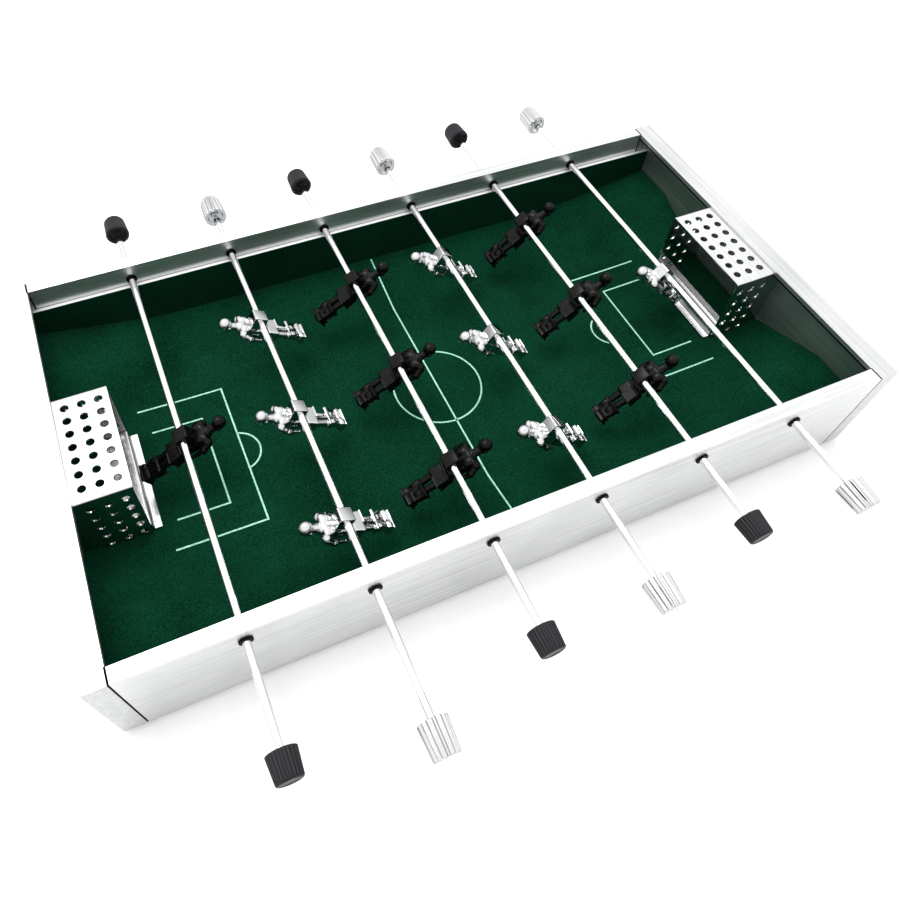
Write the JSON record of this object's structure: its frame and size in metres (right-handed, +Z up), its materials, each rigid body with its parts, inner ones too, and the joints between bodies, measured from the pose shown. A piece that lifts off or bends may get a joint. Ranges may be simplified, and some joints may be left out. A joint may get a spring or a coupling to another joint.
{
  "type": "foosball table",
  "caption": "Tabletop foosball table: aluminium case with a felt pitch, perforated goals, and sliding, spinning rods of black and chrome figures.",
  "frame": {"origin": "centre of the base board's underside, on the surface the table stands on", "axes": "+X along the pitch from the black team's goal to the chrome team's goal, +Y along the rods from the near rail to the far rail, +Z up"},
  "size_m": [0.543, 0.4665, 0.0834],
  "materials": {
    "aluminium": "satin, brushed along its length",
    "gasket": "matt",
    "board": "matt",
    "felt": "short-pile felt with pale printed lines",
    "sheet": "satin perforated sheet",
    "bushing": "satin",
    "rod": "polished",
    "figure_black": "semi-gloss, moulded",
    "figure_chrome": "mirror, cast",
    "knob_black": "semi-gloss, ribbed",
    "knob_chrome": "mirror, fluted"
  },
  "bodies": {
    "case": {"near_rail": "aluminium", "far_rail": "aluminium", "left_end_panel": "aluminium", "right_end_panel": "aluminium", "left_gasket": "gasket", "right_gasket": "gasket", "base_board": "board", "pitch": "felt", "near_liner": "felt", "far_liner": "felt", "left_goal": "sheet", "right_goal": "sheet", "left_goal_sill": "sheet", "right_goal_sill": "sheet", "bushing_1_near": "bushing", "bushing_1_far": "bushing", "bushing_2_near": "bushing", "bushing_2_far": "bushing", "bushing_3_near": "bushing", "bushing_3_far": "bushing", "bushing_4_near": "bushing", "bushing_4_far": "bushing", "bushing_5_near": "bushing", "bushing_5_far": "bushing", "bushing_6_near": "bushing", "bushing_6_far": "bushing"},
    "rod_1_slider": {"rod_1": "rod"},
    "rod_1_team": {"goalkeeper_1": "figure_black", "knob_1_near": "knob_black", "knob_1_far": "knob_black"},
    "rod_2_slider": {"rod_2": "rod"},
    "rod_2_team": {"player_2_near": "figure_chrome", "player_2_middle": "figure_chrome", "player_2_far": "figure_chrome", "knob_2_near": "knob_chrome", "knob_2_far": "knob_chrome"},
    "rod_3_slider": {"rod_3": "rod"},
    "rod_3_team": {"player_3_near": "figure_black", "player_3_middle": "figure_black", "player_3_far": "figure_black", "knob_3_near": "knob_black", "knob_3_far": "knob_black"},
    "rod_4_slider": {"rod_4": "rod"},
    "rod_4_team": {"player_4_near": "figure_chrome", "player_4_middle": "figure_chrome", "player_4_far": "figure_chrome", "knob_4_near": "knob_chrome", "knob_4_far": "knob_chrome"},
    "rod_5_slider": {"rod_5": "rod"},
    "rod_5_team": {"player_5_near": "figure_black", "player_5_middle": "figure_black", "player_5_far": "figure_black", "knob_5_near": "knob_black", "knob_5_far": "knob_black"},
    "rod_6_slider": {"rod_6": "rod"},
    "rod_6_team": {"goalkeeper_6": "figure_chrome", "knob_6_near": "knob_chrome", "knob_6_far": "knob_chrome"}
  },
  "joints": [
    {"name": "rod_1_slide", "type": "slide", "parent": "case", "child": "rod_1_slider", "axis": [0, 1, 0], "range_m": [-0.038, 0.058]},
    {"name": "rod_1_spin", "type": "hinge", "parent": "rod_1_slider", "child": "rod_1_team", "pos_m": [-0.1875, -0.01, 0.071], "axis": [0, -1, 0], "range_deg": [-1, 289]},
    {"name": "rod_2_slide", "type": "slide", "parent": "case", "child": "rod_2_slider", "axis": [0, 1, 0], "range_m": [-0.0206, 0.0554]},
    {"name": "rod_2_spin", "type": "hinge", "parent": "rod_2_slider", "child": "rod_2_team", "pos_m": [-0.1125, -0.0174, 0.071], "axis": [0, 1, 0], "continuous": true},
    {"name": "rod_3_slide", "type": "slide", "parent": "case", "child": "rod_3_slider", "axis": [0, 1, 0], "range_m": [-0.032, 0.044]},
    {"name": "rod_3_spin", "type": "hinge", "parent": "rod_3_slider", "child": "rod_3_team", "pos_m": [-0.0375, -0.006, 0.071], "axis": [0, -1, 0], "continuous": true},
    {"name": "rod_4_slide", "type": "slide", "parent": "case", "child": "rod_4_slider", "axis": [0, 1, 0], "range_m": [-0.031, 0.045]},
    {"name": "rod_4_spin", "type": "hinge", "parent": "rod_4_slider", "child": "rod_4_team", "pos_m": [0.0375, -0.007, 0.071], "axis": [0, 1, 0], "continuous": true},
    {"name": "rod_5_slide", "type": "slide", "parent": "case", "child": "rod_5_slider", "axis": [0, 1, 0], "range_m": [-0.0428, 0.0332]},
    {"name": "rod_5_spin", "type": "hinge", "parent": "rod_5_slider", "child": "rod_5_team", "pos_m": [0.1125, 0.0048, 0.071], "axis": [0, -1, 0], "continuous": true},
    {"name": "rod_6_slide", "type": "slide", "parent": "case", "child": "rod_6_slider", "axis": [0, 1, 0], "range_m": [-0.047, 0.049]},
    {"name": "rod_6_spin", "type": "hinge", "parent": "rod_6_slider", "child": "rod_6_team", "pos_m": [0.1875, -0.001, 0.071], "axis": [0, 1, 0], "range_deg": [-13, 275]}
  ]
}
